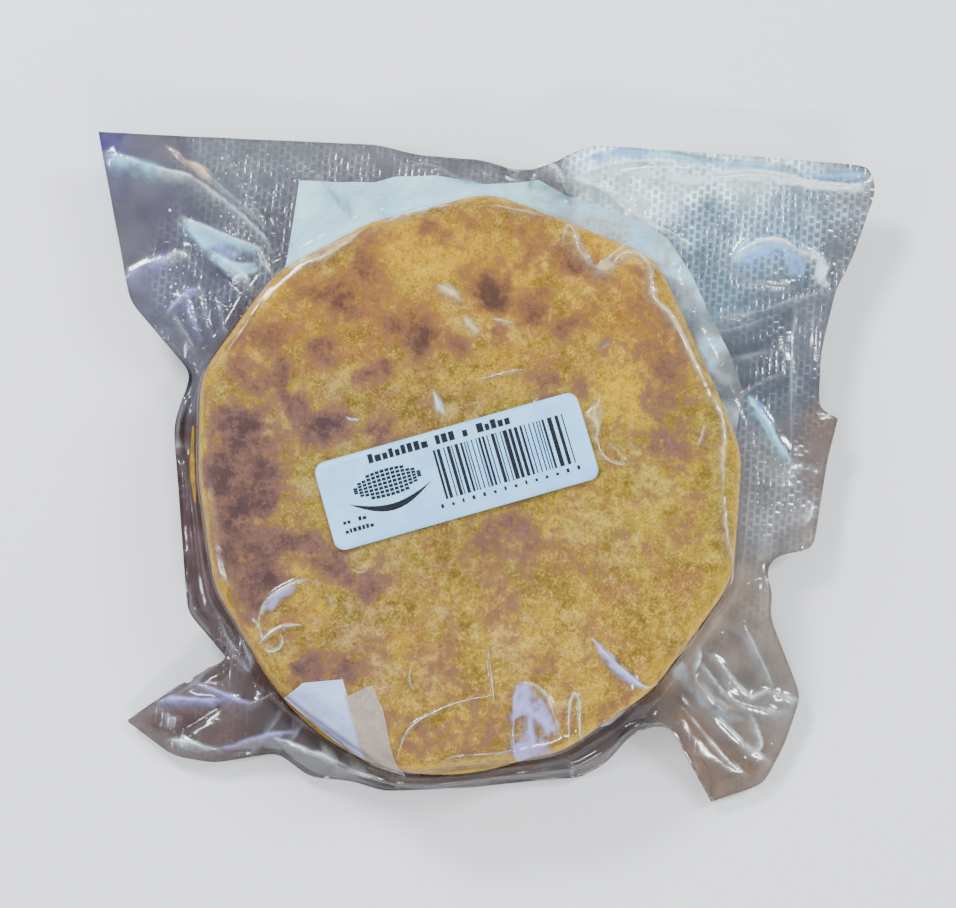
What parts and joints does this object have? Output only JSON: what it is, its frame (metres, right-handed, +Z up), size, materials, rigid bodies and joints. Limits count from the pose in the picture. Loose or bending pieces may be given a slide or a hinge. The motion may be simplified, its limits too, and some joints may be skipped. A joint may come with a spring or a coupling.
{
  "type": "vacuum pack of corn cakes",
  "caption": "Clear vacuum bag drawn tight round a stack of flat griddled corn cakes, with parchment between them and a paper label on top, lying flat.",
  "frame": {"origin": "middle of the stack's flat underside, on the plane that the pack lies on", "axes": "+Z up out of the top of the stack, +X along the pack's length towards the sealed mouth, +Y across the pack towards its long cut edge with the pleat"},
  "size_m": [0.228, 0.194, 0.0316],
  "materials": {
    "clear_film": "clear, glossy, creased film, embossed on the back",
    "corn_cake": "griddled yellow corn dough with mauve-brown toasted patches, moist",
    "parchment": "thin white greaseproof paper",
    "label_paper": "semi-gloss white label paper with black thermal print"
  },
  "bodies": {
    "root": {"bag": "clear_film", "label": "label_paper"}
  },
  "joints": []
}
